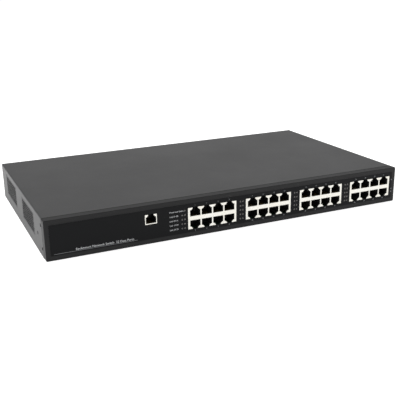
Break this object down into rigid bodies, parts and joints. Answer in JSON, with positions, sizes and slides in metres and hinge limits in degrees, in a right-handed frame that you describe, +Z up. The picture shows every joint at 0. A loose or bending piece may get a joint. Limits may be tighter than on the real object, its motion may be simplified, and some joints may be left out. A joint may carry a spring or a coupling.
{
  "type": "rackmount network switch",
  "caption": "Flat black steel rackmount network switch with blocks of stacked modular sockets, a console socket, indicator columns, side vents, fans and a mains inlet.",
  "frame": {"origin": "middle of the case's underside", "axes": "+X along the front from left to right, +Y from the front to the rear, +Z up"},
  "size_m": [0.44, 0.25, 0.044],
  "materials": {
    "case_paint": "fine-textured black powder coat",
    "panel_film": "matt black printed polyester film",
    "socket_plastic": "cream white moulded housing",
    "contact_gold": "gold flashed spring wire",
    "shield_steel": "tinned steel shell",
    "clear_plastic": "clear light pipe",
    "lamp_plastic": "moulded lamp",
    "circuit_board": "green solder mask",
    "zinc_steel": "bright zinc plate",
    "black_steel": "black oxide",
    "dark_plastic": "black moulded plastic",
    "sink_aluminium": "satin extrusion",
    "ferrite": "dark ferrite and tape",
    "wire_sleeve": "flexible wire insulation"
  },
  "bodies": {
    "chassis": {"base_pan": "case_paint", "top_cover": "case_paint", "front_bezel": "case_paint", "front_overlay": "panel_film", "cover_screws": "black_steel", "bezel_screws": "zinc_steel", "ear_nuts": "black_steel", "vent_grille_front": "case_paint", "vent_grille_rear": "case_paint", "fan_guard_front": "case_paint", "fan_guard_rear": "case_paint", "fan_frame_front": "dark_plastic", "fan_frame_rear": "dark_plastic", "fan_screws": "zinc_steel", "console_jack": "socket_plastic", "console_contacts": "contact_gold", "console_shield": "shield_steel", "indicator_lamps": "lamp_plastic", "indicator_boards": "circuit_board", "main_board": "circuit_board", "console_board": "circuit_board", "supply_board": "circuit_board", "standoffs": "zinc_steel", "board_screws": "zinc_steel", "switch_chip": "dark_plastic", "heat_sink": "sink_aluminium", "magnetics": "dark_plastic", "capacitors": "sink_aluminium", "supply_transformer": "ferrite", "supply_reservoirs": "sink_aluminium", "supply_choke": "ferrite", "supply_heat_sinks": "sink_aluminium", "ac_inlet": "dark_plastic", "inlet_pins": "shield_steel", "inlet_screws": "zinc_steel", "rocker_frame": "dark_plastic", "switch_terminals": "contact_gold", "ground_screw": "zinc_steel", "mains_wires": "wire_sleeve", "supply_cable": "wire_sleeve", "fan_wires": "wire_sleeve", "port_block_1": "socket_plastic", "port_contacts_1": "contact_gold", "port_shield_1": "shield_steel", "light_pipes_1": "clear_plastic", "port_block_2": "socket_plastic", "port_contacts_2": "contact_gold", "port_shield_2": "shield_steel", "light_pipes_2": "clear_plastic", "port_block_3": "socket_plastic", "port_contacts_3": "contact_gold", "port_shield_3": "shield_steel", "light_pipes_3": "clear_plastic", "port_block_4": "socket_plastic", "port_contacts_4": "contact_gold", "port_shield_4": "shield_steel", "light_pipes_4": "clear_plastic"},
    "front_fan": {"fan_rotor_front": "dark_plastic"},
    "rear_fan": {"fan_rotor_rear": "dark_plastic"},
    "power_rocker": {"rocker_button": "dark_plastic"}
  },
  "joints": [
    {"name": "front_fan_spin", "type": "hinge", "parent": "chassis", "child": "front_fan", "pos_m": [0.20695, 0.005, 0.0216], "axis": [1, 0, 0], "continuous": true},
    {"name": "rear_fan_spin", "type": "hinge", "parent": "chassis", "child": "rear_fan", "pos_m": [0.20695, 0.061, 0.0216], "axis": [1, 0, 0], "continuous": true},
    {"name": "power_rocker_tilt", "type": "hinge", "parent": "chassis", "child": "power_rocker", "pos_m": [-0.128, 0.119, 0.0195], "axis": [1, 0, 0], "range_deg": [0, 22]}
  ]
}
